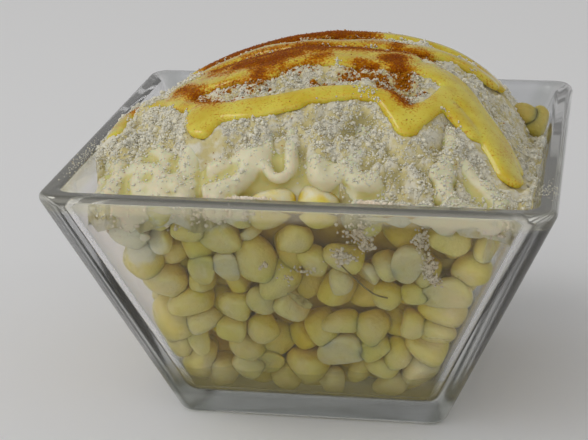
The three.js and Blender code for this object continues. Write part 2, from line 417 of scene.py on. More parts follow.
def mound_z(x, y):
    """Top of the finished heap, as far as the toppings lie on it, for one place or an array of them."""
    across = (x - 1 * MM) / np.where(x < 1 * MM, 55 * MM, 48 * MM)
    deep = (y + 2 * MM) / np.where(y < -2 * MM, 51 * MM, 54 * MM)
    across_share = 1 - np.minimum(1, np.abs(across)) ** np.where(x < 1 * MM, 1.7, 3.4)
    deep_share = 1 - np.minimum(1, np.abs(deep)) ** np.where(y < -2 * MM, 2.5, 2.2)
    corner = (np.abs(x * y) / inner_half(RIM_Z) ** 2) ** 1.5
    dip = np.where(y > 0, 14 * MM, 2 * MM) * corner
    return RIM_Z - HEAP_FOOT + HEAP_RISE * across_share * deep_share - dip


def held_in(x, y, z, clear):
    """Level places drawn in to stay inside the round-cornered glass."""
    core_half = inner_half(np.minimum(z, RIM_Z)) - clear - INNER_CORNER
    past_x = np.maximum(np.abs(x) - core_half, 0)
    past_y = np.maximum(np.abs(y) - core_half, 0)
    reach_past = np.hypot(past_x, past_y)
    pull = np.where(reach_past > INNER_CORNER, INNER_CORNER / np.maximum(reach_past, 1e-9), 1.0)
    return (np.sign(x) * (np.minimum(np.abs(x), core_half) + past_x * pull),
            np.sign(y) * (np.minimum(np.abs(y), core_half) + past_y * pull))


def points_of(mesh):
    flat = np.empty(len(mesh.vertices) * 3, np.float32)
    mesh.vertices.foreach_get("co", flat)
    return flat.reshape(-1, 3).astype(float)


def set_points(mesh, points):
    mesh.vertices.foreach_set("co", points.astype(np.float32).ravel())
    mesh.update()


def kept_inside(mesh, clear):
    """Draws a mesh's points in to stay this far inside the glass, and returns them."""
    points = points_of(mesh)
    points[:, 0], points[:, 1] = held_in(*points.T, clear)
    set_points(mesh, points)
    return points


def add_marks(mesh, **marks):
    """Numbers for each point of a mesh, which its finish reads by name."""
    for name, values in marks.items():
        layer = mesh.attributes.new(name, "FLOAT", "POINT")
        layer.data.foreach_set("value", np.asarray(values, np.float32))


def eased(value, low, high):
    share = np.clip((value - low) / (high - low), 0, 1)
    return share * share * (3 - 2 * share)


def blob(x, y, across, deep, radius):
    """1 at a place given in mm and near 0 beyond the radius."""
    return np.exp(-((x / MM - across) ** 2 + (y / MM - deep) ** 2) / radius ** 2)


def coating(x, y, z):
    """Where mayonnaise and cheese dust have run down over the kernels behind the front glass."""
    run = blob(x, z, -42, 55, 9) + blob(x, z, -36, 49, 6) + 0.8 * blob(x, z, -17, 58, 5)
    run += 0.35 * eased(z, 52 * MM, 60 * MM) + 0.3 * eased(z, 59 * MM, 62 * MM)
    return eased(-y, 36 * MM, 44 * MM) * np.clip(run, 0, 1)


def cage_of(form):
    """The points and faces of a bmesh, which is freed."""
    points = np.array([vert.co[:] for vert in form.verts])
    faces = np.array([[vert.index for vert in face.verts] for face in form.faces])
    form.free()
    return points, faces


def kernel_cage(cut):
    """One kernel's cage of 54 faces, its tip pointing down; a cut one has lost a slice of one side."""
    form = bmesh.new()
    bmesh.ops.create_cube(form, size=2.0)
    bmesh.ops.subdivide_edges(form, edges=form.edges[:], cuts=2, use_grid_fill=True)
    taper = style.uniform(0.2, 0.6)
    box_share = style.uniform(0.15, 0.5)
    dent = style.uniform(0.0, 0.22)
    groove = style.uniform(0.05, 0.4)
    bend = style.uniform(-0.25, 0.25)
    for vert in form.verts:
        x, y, z = vert.co
        ball = [a * math.sqrt(max(0, 1 - b * b / 2 - c * c / 2 + b * b * c * c / 3))
                for a, b, c in ((x, y, z), (y, z, x), (z, x, y))]
        point = Vector(ball).lerp(vert.co * 0.82, box_share)
        narrow = 1 - taper * max(0.0, 0.5 - 0.5 * point.z) ** 1.2
        germ = math.exp(-(point.x / 0.5) ** 2 - ((point.z + 0.15) / 0.7) ** 2)
        crown = math.exp(-3 * point.x ** 2 - 5 * point.y ** 2)
        vert.co = Vector((
            point.x * narrow + bend * point.z ** 2,
            point.y * narrow - (groove * germ if point.y > 0.2 else 0.0),
            point.z - (dent * crown if point.z > 0.5 else 0.0),
        )) * CAGE_ROOM
        if cut:
            vert.co.y = min(vert.co.y, 0.25 + 0.1 * point.z)
        vert.co += Vector(style.normal(0, 0.06, 3))
    return cage_of(form)


def joined(name, cages, picks, centres, turns, sizes, **marks):
    """One mesh of many copies: cages[pick], scaled, turned and placed, with a mark for each copy.

    Two marks are worked out here: "along" is 0 at the foot of each copy and 1 at its top, and "germ" is
    1 in the middle of its two broad sides.
    """
    points = []
    faces = []
    local = []
    start = 0
    for copy, pick in enumerate(picks):
        cage_points, cage_faces = cages[pick]
        points.append((cage_points * sizes[copy]) @ turns[copy].T + centres[copy])
        faces.append(cage_faces + start)
        local.append(cage_points)
        start += len(cage_points)
    mesh = bpy.data.meshes.new(name)
    mesh.from_pydata(np.concatenate(points), [], np.concatenate(faces).tolist())
    owner = np.repeat(np.arange(len(picks)), [len(part) for part in points])
    x, y, z = np.concatenate(local).T / CAGE_ROOM
    germ = np.exp(-(x / 0.55) ** 2 - ((z + 0.1) / 0.65) ** 2) * (np.abs(y) > 0.15)
    add_marks(mesh, along=0.5 + 0.5 * z, germ=germ, **{mark: marks[mark][owner] for mark in marks})
    mesh.update()
    return mesh


def random_turns(count, source):
    """Evenly random rotation matrices."""
    quaternions = source.normal(size=(count, 4))
    quaternions /= np.linalg.norm(quaternions, axis=1)[:, None]
    w, x, y, z = quaternions.T
    return np.stack([
        1 - 2 * (y * y + z * z), 2 * (x * y - z * w), 2 * (x * z + y * w),
        2 * (x * y + z * w), 1 - 2 * (x * x + z * z), 2 * (y * z - x * w),
        2 * (x * z - y * w), 2 * (y * z + x * w), 1 - 2 * (x * x + y * y),
    ], axis=1).reshape(-1, 3, 3)


def reach(turns, halves, toward):
    """How far each egg-shaped kernel reaches along a direction, and the point that it reaches."""
    local = np.einsum("nji,nj->ni", turns, toward) * halves
    far = np.linalg.norm(local, axis=1)
    return far, np.einsum("nij,nj->ni", turns, local * halves / far[:, None])


def tilted(turns, spin):
    """Each rotation turned a little further, about the vector spin."""
    x, y, z = spin.T
    zero = np.zeros_like(x)
    step = np.stack([zero, -z, y, z, zero, -x, -y, x, zero], axis=1).reshape(-1, 3, 3)
    q, r = np.linalg.qr(turns + step @ turns)
    signs = np.sign(np.einsum("nii->ni", r))
    return q * signs[:, None, :]


def heap_walls():
    """The planes that hold the kernels, as inward normals and offsets: floor, walls and side gaps."""
    planes = [(np.array((0, 0, 1)), -FLOOR_THICK)]
    for way_x, way_y, gap, widening in (
        (0, 1, 0, 0), (0, -1, 0, 0), (1, 0, 0, 0), (1, 0, LEFT_GAP, LEFT_WIDENING), (-1, 0, RIGHT_GAP, 0),
    ):
        lean = SLOPE - widening
        length = math.hypot(1, lean)
        normal = np.array((way_x / length, way_y / length, lean / length))
        planes.append((normal, (inner_half(0.0) - gap) / length))
    return planes


def pour(count, halves):
    """Places for kernels of these half sizes: scattered behind the glass, grown, and pushed apart."""
    centres = [np.array(place) * MM for place in RIM_KERNELS]
    for across, height, tilt, size in SLICED_KERNELS:
        centres.append(np.array((across * MM, 2.1 * MM - inner_half(height * MM), height * MM)))
    while len(centres) < count:
        x, y = chance.uniform(-1, 1, 2) * inner_half(RIM_Z)
        z = chance.uniform(FLOOR_THICK, RIM_Z + 4 * MM)
        room = inner_half(z) - max(abs(x), abs(y))
        if 3 * MM < room and (room < HEAP_DEPTH or z < FLOOR_THICK + FOOT_DEPTH):
            centres.append((x, y, z))
    centres = np.array(centres)
    turns = random_turns(count, chance)
    for index, (across, height, tilt, size) in enumerate(SLICED_KERNELS, len(RIM_KERNELS)):
        facing = Matrix.Rotation(math.radians(tilt), 3, "Y") @ Matrix.Rotation(math.pi, 3, "Z")
        turns[index] = Matrix.Rotation(LEAN, 3, "X") @ facing
    walls = heap_walls()
    pinned = centres[:HELD].copy()
    pinned_turns = turns[SLICED].copy()
    for turn_round in range(POUR_ROUNDS):
        now = halves * (START_SIZE + GROWTH * min(1.0, turn_round / (POUR_ROUNDS * GROWN_AT)))
        push = np.zeros_like(centres)
        spin = np.zeros_like(centres)
        apart = centres[None] - centres[:, None]
        far = np.linalg.norm(apart, axis=2)
        one, two = np.nonzero(np.triu(far < NEIGHBOURS, 1))
        toward = apart[one, two] / far[one, two][:, None]
        reach_one, arm_one = reach(turns[one], now[one], toward)
        reach_two, arm_two = reach(turns[two], now[two], -toward)
        overlap = np.maximum(0, (reach_one + reach_two) * TOUCHING - far[one, two])
        shove = toward * overlap[:, None] * 0.38
        np.add.at(push, one, -shove)
        np.add.at(push, two, shove)
        np.add.at(spin, one, -np.cross(arm_one, shove))
        np.add.at(spin, two, np.cross(arm_two, shove))
        for normal, offset in walls:
            reached, arm = reach(turns, now, np.broadcast_to(-normal, centres.shape))
            past = np.maximum(0, reached - (centres @ normal + offset))
            push += normal * past[:, None] * 0.8
            spin += np.cross(arm, normal * past[:, None]) * 1.5
        x, y, z = centres.T
        top = mound_z(x, y) - UNDER_TOPPINGS
        top = np.where(y < -42 * MM, np.minimum(top, RIM_Z - 1.5 * MM), top)
        push[HELD:, 2] -= np.maximum(0, z + now[:, 0] * 0.8 - top)[HELD:] * 0.5
        push[:, 2] -= SINKING
        room = inner_half(z) - np.abs(centres[:, :2]).max(axis=1)
        deep = (room > HEAP_DEPTH) & (z > FLOOR_THICK + FOOT_DEPTH)
        deep[:HELD] = False
        inward = centres * (1, 1, 0)
        inward /= np.linalg.norm(inward, axis=1)[:, None] + 1e-9
        push += inward * (deep * (room - HEAP_DEPTH) * 0.5)[:, None]
        centres += push
        centres[:HELD] = pinned
        turns = tilted(turns, spin / (np.mean(KERNEL_HALVES) ** 2) * 0.5)
        turns[SLICED] = pinned_turns
    return centres, turns


style = np.random.default_rng(3)
cages = [kernel_cage(shape >= KERNEL_SHAPES - CUT_SHAPES) for shape in range(KERNEL_SHAPES)]
kernel_sizes = KERNEL_HALVES * chance.uniform(0.74, 1.12, (KERNEL_COUNT, 1))
kernel_sizes = kernel_sizes * chance.uniform(0.88, 1.12, (KERNEL_COUNT, 3))
kernel_shapes = chance.integers(0, KERNEL_SHAPES, KERNEL_COUNT)
kernel_shapes[SLICED] = KERNEL_SHAPES - 1
kernel_sizes[SLICED] = SLICED_HALVES * np.array(SLICED_KERNELS)[:, 3:]
cut = kernel_shapes >= KERNEL_SHAPES - CUT_SHAPES
kernel_sizes[cut] *= 0.82
kernel_tones = chance.uniform(0, 1, KERNEL_COUNT) * np.where(cut, 0.3, 0.85) + np.where(cut, 0.7, 0.0)
places, facing = pour(KERNEL_COUNT, kernel_sizes)
kernel_mesh = joined("corn_kernels", cages, kernel_shapes, places, facing, kernel_sizes, tone=kernel_tones)
kernel_points = kept_inside(kernel_mesh, 0.1 * MM)
kernel_points[:, 2] = np.maximum(kernel_points[:, 2], FLOOR_THICK + 0.15 * MM)
set_points(kernel_mesh, kernel_points)
x, y, z = kernel_points.T
set_back = inner_half(z) - np.maximum(np.abs(x), np.abs(y))
beside = (1 - eased(inner_half(z) - np.abs(x), 7 * MM, 14 * MM)) * eased(-y, 20 * MM, 32 * MM)
add_marks(
    # Painted shade: the kernels by the back right corner are painted darker.
    kernel_mesh, coat=coating(x, y, z), dull=0.85 * blob(x, y, 48, 17, 8),
    # Painted light: parts set back from the front glass are given a golden glow in the finish.
    behind=eased(set_back, 1.5 * MM, 5.5 * MM) * (1 - 0.85 * beside),
    near=np.maximum(1 - eased(set_back, 0.3 * MM, 2.4 * MM), beside),
)

corn = Finish("boiled corn", IOR=1.4, Subsurface_Weight=0.8, Subsurface_Scale=0.006,
              Subsurface_Radius=(1.0, 0.8, 0.55))
tone = corn.attribute("tone")
mottle = corn.noise(420.0, detail=5.0, roughness=0.65)
crown = corn.attribute("along") + corn.speckle(180.0, 0.6)
near = (corn.attribute("near") + (mottle - 0.5) * 0.6).ramp(0.0, 1.0)
corn.set("Base Color", corn.layers(
    (0.82, 0.69, 0.22),
    (crown.ramp(0.3, 0.95), corn.mix(tone.ramp(0.0, 0.6), (0.74, 0.58, 0.04), (0.78, 0.64, 0.09))),
    (tone.ramp(0.72, 0.9), (0.80, 0.69, 0.44)),
    ((corn.attribute("germ") + corn.speckle(500.0, 0.5)).ramp(0.25, 0.75) * 0.5, (0.82, 0.72, 0.42)),
    (crown.ramp(0.35, 0.0) * 0.5, (0.60, 0.43, 0.03)),
    (mottle.ramp(0.42, 0.7) * 0.3, (0.72, 0.50, 0.03)),
    (near * 0.55, corn.mix(corn.noise(130.0).ramp(0.35, 0.65), (0.79, 0.70, 0.24), (0.79, 0.68, 0.38))),
    # Painted light: a brighter golden on the parts set back from the glass, for light glowing through the
    # gaps between kernels.
    (corn.attribute("behind") * 0.8, (0.88, 0.60, 0.03)),
    # Painted shade: the kernels by the back right corner are painted darker.
    (corn.attribute("dull"), (0.34, 0.30, 0.10)),
    ((corn.attribute("coat") + corn.speckle(260.0, 1.2)).ramp(0.35, 0.8) * 0.85, (0.80, 0.76, 0.60)),
))
corn.set("Roughness", mottle.ramp(0.3, 0.7) * 0.2 + 0.24)
corn.bump(corn.noise(480.0, detail=5.0, roughness=0.6), 0.45 * MM)
kernels = shown("corn_kernels", kernel_mesh, corn)
softer = kernels.modifiers.new("soft", "SUBSURF")
softer.levels = 1
softer.render_levels = 1
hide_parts("corn")

# ---------------------------------------------------------------- the core of the heap
# Behind the outer kernels nothing can be seen, so one lumpy block carries the toppings. Its relief
# stands for the kernels behind the first ones.
CORE_INSET = 7.6 * MM
CORE_UNDER = 6.5 * MM  # its top below the finished heap
CORE_OVER = 4.0 * MM  # its foot above the floor of the bowl
CORE_CUTS = 26
CORE_PITCH = 9.5 * MM


def mottled(name, per_metre, low, high, relief, depth, spread=0.2, **constants):
    """A finish that changes softly between two colours, with a fine relief."""
    made = Finish(name, **constants)
    share = made.noise(per_metre).ramp(0.5 - spread, 0.5 + spread)
    made.set("Base Color", made.mix(share, low, high))
    made.bump(made.noise(relief), depth)
    return made


core_form = bmesh.new()
bmesh.ops.create_cube(core_form, size=2.0)
bmesh.ops.subdivide_edges(core_form, edges=core_form.edges[:], cuts=CORE_CUTS, use_grid_fill=True)
for vert in core_form.verts:
    u, v, w = vert.co
    x, y = u * (inner_half(RIM_Z) - CORE_INSET), v * (inner_half(RIM_Z) - CORE_INSET)
    top = float(mound_z(x, y)) - CORE_UNDER
    low = FLOOR_THICK + CORE_OVER
    z = low + (top - low) * (w + 1) / 2
    shrink = (inner_half(min(z, RIM_Z)) - CORE_INSET) / (inner_half(RIM_Z) - CORE_INSET)
    lump = noise.voronoi(Vector((x * shrink, y * shrink, z)) / CORE_PITCH)[0][0]
    vert.co = Vector((x * shrink, y * shrink, z)) * (1.0 - 0.08 * lump)
    vert.co.z = z - 1.5 * MM * lump
# The core is painted a darker, deeper golden than the kernels: painted shade of the kernels further in.
core_finish = mottled("kernels behind", 160.0, (0.52, 0.33, 0.02), (0.72, 0.52, 0.05), 400.0, 0.3 * MM,
                      Roughness=0.6)
core = shown("heap_core", finished(core_form, "heap_core"), core_finish)

# ---------------------------------------------------------------- the broth
# Cloudy salted cooking water stands at the bottom, and the lowest kernels lie in it. It wets the
# glass all round, so it reaches a hair into the wall.
INTO_GLASS = 0.15 * MM
BROTH_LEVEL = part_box("broth")[1].z

broth_rings = [(inner_half(FLOOR_THICK) - FLOOR_FILLET, LEAST_CORNER, FLOOR_THICK - INTO_GLASS)]
for half, z in arc(floor_middle, floor_turn, FLOOR_FILLET + INTO_GLASS, -math.pi / 2, -LEAN)[1:]:
    broth_rings.append(inner_ring(half, z))
broth_rings.append((inner_half(BROTH_LEVEL) + INTO_GLASS, INNER_CORNER, BROTH_LEVEL))
cloudy = Finish("cloudy broth", Roughness=0.12, IOR=1.33)
cloudy.set("Base Color", cloudy.mix(cloudy.noise(60.0), (0.34, 0.27, 0.06), (0.44, 0.36, 0.11)))
cloudy.set("Alpha", cloudy.place().parts()[2].ramp(BROTH_LEVEL, FLOOR_THICK) * 0.4 + 0.2)
broth = shown("broth_pool", lofted("broth", broth_rings), cloudy)
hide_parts("broth")

# ---------------------------------------------------------------- the mayonnaise
# Squeezed from a bottle in thin strings over the hot corn, where they melt into one another. Along
# the front they turn back in loops and hang over the outermost kernels.
MAYO_UNDER = 3.4 * MM  # its even layer below the finished heap
MAYO_THICK = 2.8 * MM
WALL_CLEAR = 0.35 * MM
DRAWN_LEFT = 36 * MM  # a layer is drawn in from the glass to the left of this
DRAWN_FRONT = 38 * MM  # and in front of this

# Half width, lift above its bed, and level way points, all in mm.
MAYO_STRINGS = [
    (2.6, 1.9, [(-46.5, -24), (-45.5, -31), (-42, -38), (-42.5, -48)]),
    (2.2, 3.0, [(-43.5, -43.5), (-39, -41), (-34, -42), (-29, -46), (-26, -48.5)]),
    (3.0, 2.0, [(-37.5, -30), (-37, -38), (-36, -44), (-34.5, -50)]),
    (3.2, 2.0, [(-33.5, -33), (-30.5, -39), (-31.5, -45), (-29.5, -50)]),
    (2.8, 2.1, [(-25.5, -36), (-25, -42), (-25, -50.5)]),
    (2.9, 2.8, [(-20.5, -49.5), (-16, -48.5), (-12, -45.5), (-9.6, -41.5), (-9, -37)]),
    (2.8, 2.8, [(-20.5, -44), (-15, -43.5), (-11.5, -40)]),
    (1.45, 3.5, [(-7.6, -37), (-7.7, -42), (-6.7, -45.8), (-4.1, -47.9), (-1.7, -46.2), (-1.9, -42),
                 (-2.9, -37)]),
    (2.6, 2.6, [(4, -41), (5.5, -46.2), (10, -44.6), (13, -40)]),
    (2.4, 2.6, [(11.5, -44), (14.5, -46.8), (18.5, -45.5)]),
    (1.6, 2.2, [(12.5, -50.8), (17, -51.2), (21.5, -50.8)]),
    (1.9, 3.9, [(30.2, -23.5), (31.8, -28.5), (33, -33.5), (33.2, -38), (31.6, -42.5), (29.5, -45)]),
    (2.2, 3.4, [(34.2, -37.5), (37, -40), (40.5, -42.5), (43.5, -44.5), (46, -46)]),
    (1.9, 3.0, [(33.5, -42), (32.4, -45.5), (33.6, -48), (36.4, -49.5), (40, -50)]),
    (2.0, 2.2, [(44, -46), (44.5, -49), (41, -50.5)]),
]
# Where it is pressed against the front glass: place across, height, half width and half height.
PRESSED = [
    (-17.4, 59.0, 2.1, 3.2), (-12.2, 59.3, 2.2, 2.8), (24, 60.4, 3, 1.5), (28.6, 59.8, 3.4, 2.2),
    (33.4, 58.2, 3, 3.2), (37, 59.2, 3.4, 2.2), (41.5, 59.4, 2.6, 1.6), (-39.3, 58.5, 2.2, 2),
    (-37.5, 54.5, 2, 2.3), (-35, 57.5, 2.4, 2.6), (-34.5, 51.5, 1.6, 1.5), (-29, 59.6, 2.4, 1.8),
    (-4.5, 60.3, 1.5, 1.2),
]


def open_front(x):
    """1 where the kernels of the front row show above the rim and 0 to both sides of that."""
    return eased(x, -19 * MM, -15 * MM) * (1 - eased(x, 8 * MM, 12 * MM))


def layer_mesh(name, segments, height, thickness, side_room, front_room):
    """A closed blanket over the heap: a fine grid at height(x, y) on a plain skirt and underside."""
    form = bmesh.new()
    side = inner_half(RIM_Z)
    bmesh.ops.create_grid(form, x_segments=segments, y_segments=segments, size=side)
    x, y = np.array([vert.co[:2] for vert in form.verts]).T
    x, y = held_in(x, y, RIM_Z, WALL_CLEAR)
    x, y = held_in(x, y, mound_z(x, y), WALL_CLEAR)
    past = np.maximum(-x - DRAWN_LEFT, 0) / (side - DRAWN_LEFT)
    drawn = side - DRAWN_LEFT - WALL_CLEAR - 4.5 * MM * eased(-y, 20 * MM, 42 * MM)
    x = np.maximum(x, -DRAWN_LEFT) - past * drawn
    room = side_room + (front_room - side_room) * open_front(x)
    past = np.maximum(-y - DRAWN_FRONT, 0) / (side - DRAWN_FRONT)
    y = np.maximum(y, -DRAWN_FRONT) - past * (side - DRAWN_FRONT - room)
    for vert, place in zip(form.verts, zip(x, y, height(x, y))):
        vert.co = place
    edge = [item for item in form.edges if item.is_boundary]
    for item in bmesh.ops.extrude_edge_only(form, edges=edge)["geom"]:
        if isinstance(item, bmesh.types.BMVert):
            item.co.z -= thickness * (1 + 0.9 * noise.noise(item.co / (4 * MM)))
    bmesh.ops.holes_fill(form, edges=[item for item in form.edges if item.is_boundary], sides=0)
    mesh = finished(form, name)
    kept_inside(mesh, WALL_CLEAR)
    return mesh


def smooth_way(way, step=0.8 * MM):
    """Points about a step apart on a smooth curve through the given points, in metres."""
    knots = np.array(way, float)
    knots = np.vstack([2 * knots[0] - knots[1], knots, 2 * knots[-1] - knots[-2]])
    points = []
    for a, b, c, d in zip(knots, knots[1:], knots[2:], knots[3:]):
        count = max(2, int(np.linalg.norm(c[:2] - b[:2]) / step))
        t = np.linspace(0, 1, count, endpoint=False)[:, None]
        points.append(0.5 * (2 * b + (c - a) * t + (2 * a - 5 * b + 4 * c - d) * t ** 2
                             + (3 * b - a - 3 * c + d) * t ** 3))
    points.append(knots[-2][None])
    return np.concatenate(points)


def baked(piece):
    """The mesh of an object with its modifiers applied; the object is taken away."""
    mesh = bpy.data.meshes.new_from_object(piece.evaluated_get(bpy.context.evaluated_depsgraph_get()))
    bpy.data.objects.remove(piece)
    return mesh


def melted(name, meshes, voxel, smoothing):
    """Closed meshes joined into one skin by a voxel remesh, then smoothed."""
    form = bmesh.new()
    for mesh in meshes:
        form.from_mesh(mesh)
    joined_mesh = bpy.data.meshes.new(name)
    form.to_mesh(joined_mesh)
    form.free()
    rough = placed(name, joined_mesh)
    remesh = rough.modifiers.new("melt", "REMESH")
    remesh.mode = "VOXEL"
    remesh.voxel_size = voxel
    relax = rough.modifiers.new("relax", "SMOOTH")
    relax.factor = 0.5
    relax.iterations = smoothing
    bpy.context.view_layer.update()
    return baked(rough)


def strings_mesh(name, strings, voxel, smoothing):
    """Round strings (points and half widths) melted into one skin."""
    curve = bpy.data.curves.new(name, "CURVE")
    curve.dimensions = "3D"
    curve.bevel_depth = 1.0
    curve.bevel_resolution = 3
    curve.use_fill_caps = True
    for points, halves in strings:
        spline = curve.splines.new("POLY")
        spline.points.add(len(points) - 1)
        for point, place, half in zip(spline.points, points, halves):
            point.co = (*place, 1.0)
            point.radius = half
    return melted(name, [baked(placed(name, curve))], voxel, smoothing)


def mayo_bed(x, y):
    """The even layer under the strings, lower where kernels show between the strings and the glass."""
    return mound_z(x, y) - MAYO_UNDER - 3.0 * MM * eased(-y, 43 * MM, 48 * MM) * open_front(x)


def pressed_mesh(across, height, wide, high):
    """An uneven pad of mayonnaise against the front glass."""
    form = bmesh.new()
    bmesh.ops.create_icosphere(form, subdivisions=3, radius=1.0)
    for vert in form.verts:
        z = height * MM + vert.co.z * high * MM
        uneven = 1 + 0.3 * noise.noise(Vector((across, vert.co.x, vert.co.z)))
        x = across * MM + vert.co.x * wide * MM * uneven
        vert.co = (x, -inner_half(z) + (1.3 + vert.co.y * 1.5) * MM, z)
    return finished(form, "pressed")


def hollows(mesh, rounds):
    """How far each point lies under the mesh's own smoothed shape: above 0 in hollows, below 0 on ridges."""
    ends = np.empty(len(mesh.edges) * 2, np.int32)
    mesh.edges.foreach_get("vertices", ends)
    one, two = ends.reshape(-1, 2).T
    normals = np.empty(len(mesh.vertices) * 3, np.float32)
    mesh.vertices.foreach_get("normal", normals)
    points = points_of(mesh)
    neighbours = np.bincount(ends, minlength=len(points))[:, None]
    soft = points
    for _ in range(rounds):
        total = np.zeros_like(soft)
        np.add.at(total, one, soft[two])
        np.add.at(total, two, soft[one])
        soft = total / neighbours
    return ((soft - points) * normals.reshape(-1, 3)).sum(axis=1)


wander = np.random.default_rng(5)
mayo_strings = []
for half, lift, way in MAYO_STRINGS:
    points = smooth_way(np.array(way) * MM)
    z = mound_z(*points.T) - MAYO_UNDER + (lift * 0.8 - half * 0.8) * MM
    thickness = 1 + 0.12 * np.sin(np.arange(len(points)) * 0.35 + wander.uniform(0, 6))
    mayo_strings.append((np.column_stack([points, z]), half * MM * thickness))

mayo_mesh = melted(
    "mayonnaise",
    [layer_mesh("mayonnaise_layer", 60, mayo_bed, MAYO_THICK, 4.5 * MM, 6.0 * MM),
     strings_mesh("mayonnaise_strings", mayo_strings, 0.5 * MM, 1),
     *[pressed_mesh(*pad) for pad in PRESSED]],
    0.75 * MM, 5,
)
mayo_points = points_of(mayo_mesh)
wavy = np.array([noise.noise(Vector(point) / (3.2 * MM)) for point in mayo_points])
mayo_points[:, 2] += 0.9 * MM * wavy * (mayo_points[:, 2] > RIM_Z)
set_points(mayo_mesh, mayo_points)
kept_inside(mayo_mesh, WALL_CLEAR)
x, y, z = points_of(mayo_mesh).T
# Painted light: the mayonnaise against the front glass lies in the shade of the rim and is painted lighter
# there.
by_glass = eased(-inner_half(z) - y, -2.2 * MM, -0.8 * MM) * (z < RIM_Z)
add_marks(mayo_mesh, hollow=eased(hollows(mayo_mesh, 16), -0.25 * MM, 0.3 * MM), pressed=by_glass)
mayo = Finish("mayonnaise", Roughness=0.38, Subsurface_Weight=0.3, Subsurface_Scale=0.003, IOR=1.45)
mayo.set("Base Color", mayo.layers(
    (0.73, 0.68, 0.46),
    # Painted shade: the hollows between the strings are painted darker and yellower.
    ((mayo.attribute("hollow") + mayo.speckle(260.0, 0.9)).ramp(0.0, 1.0), (0.61, 0.54, 0.20)),
    # Painted light where it lies against the front glass.
    (mayo.attribute("pressed"), (0.82, 0.74, 0.55)),
))
mayo.bump(mayo.noise(400.0), 0.15 * MM)
mayo_piece = shown("mayonnaise_strings", mayo_mesh, mayo)
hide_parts("mayonnaise")

# ---------------------------------------------------------------- the crumbled cheese
# Dry white cheese rubbed to crumbs and thrown on by hand: a loose layer, thick over the middle and
# the right, thin where the mayonnaise shows, with single crumbs of every size on it.

# The strings of sauce, which it lies against: half width and level way points, all in mm.
SAUCE_STRINGS = [
    (2.4, [(-48, -23), (-48, -14), (-46.5, -7), (-42, -10), (-36, -15.5), (-28.6, -25), (-21.5, -30),
           (-15, -31.3)]),
    (2.7, [(-18, -30.7), (-10, -31.5), (0, -30.2), (9, -28.4), (16, -28.2)]),
    (2.6, [(-21.5, -32), (-15, -33.4), (-8, -33.3), (0, -31.5)]),
    (4.2, [(-24.3, -27), (-23.4, -33), (-22.2, -39.2)]),
    (2.8, [(13, -28.2), (18, -29.6), (21.4, -34), (23.4, -37.2), (25.3, -33.4), (28.3, -27.7), (31, -21),
           (32, -18)]),
    (2.5, [(20.5, -30.5), (23.6, -33), (27, -28.5)]),
    (4.2, [(-35.8, -10), (-31.3, -13), (-27, -15), (-22, -17), (-16, -15.5)]),
    (3.6, [(-35, -14), (-30.5, -18), (-26, -21)]), (2.6, [(-18, -18), (-13, -20.3), (-8, -18)]),
    (4.2, [(-31, -9), (-25, -11), (-17, -10.8), (-9, -10.5), (0, -10.5), (10, -11), (17, -11.3),
           (24, -11.5)]),
    (3.3, [(-25, -15.5), (-19, -16.3), (-13, -17), (-8, -16), (-2, -13.8), (4, -14.4), (12, -15), (20, -15),
           (27, -15.5)]),
    (3.8, [(22, -14), (28.5, -15.5), (32, -18), (35.2, -21.6), (38.6, -25.5), (42, -29.5), (44.8, -34),
           (47.2, -39.8)]),
    (2.7, [(23, -11.5), (30, -12.5), (33.5, -15.5), (37, -19.6), (41, -23.4), (45, -27.5), (48.2, -32)]),
    (4.2, [(43.5, -32.5), (46.8, -37)]), (2.4, [(29.5, -24), (33.9, -28.5), (38.8, -32.6)]),
    (3.1, [(-31, -12), (-29.5, -6), (-25, -2.5), (-16, 0), (-4, -2.4), (10, -1.6), (20, -1.8), (28, 1.6),
           (35, 4), (40.5, 6)]),
    (3.3, [(41.5, 8), (33, 12.5), (10, 12.5), (-8, 10.5), (-24, 9), (-34, 15), (-38, 24), (-36, 29)]),
    (3.0, [(-38, 22), (-34, 30), (-20, 31), (-6, 31), (14, 32), (32, 30), (41, 35)]),
]
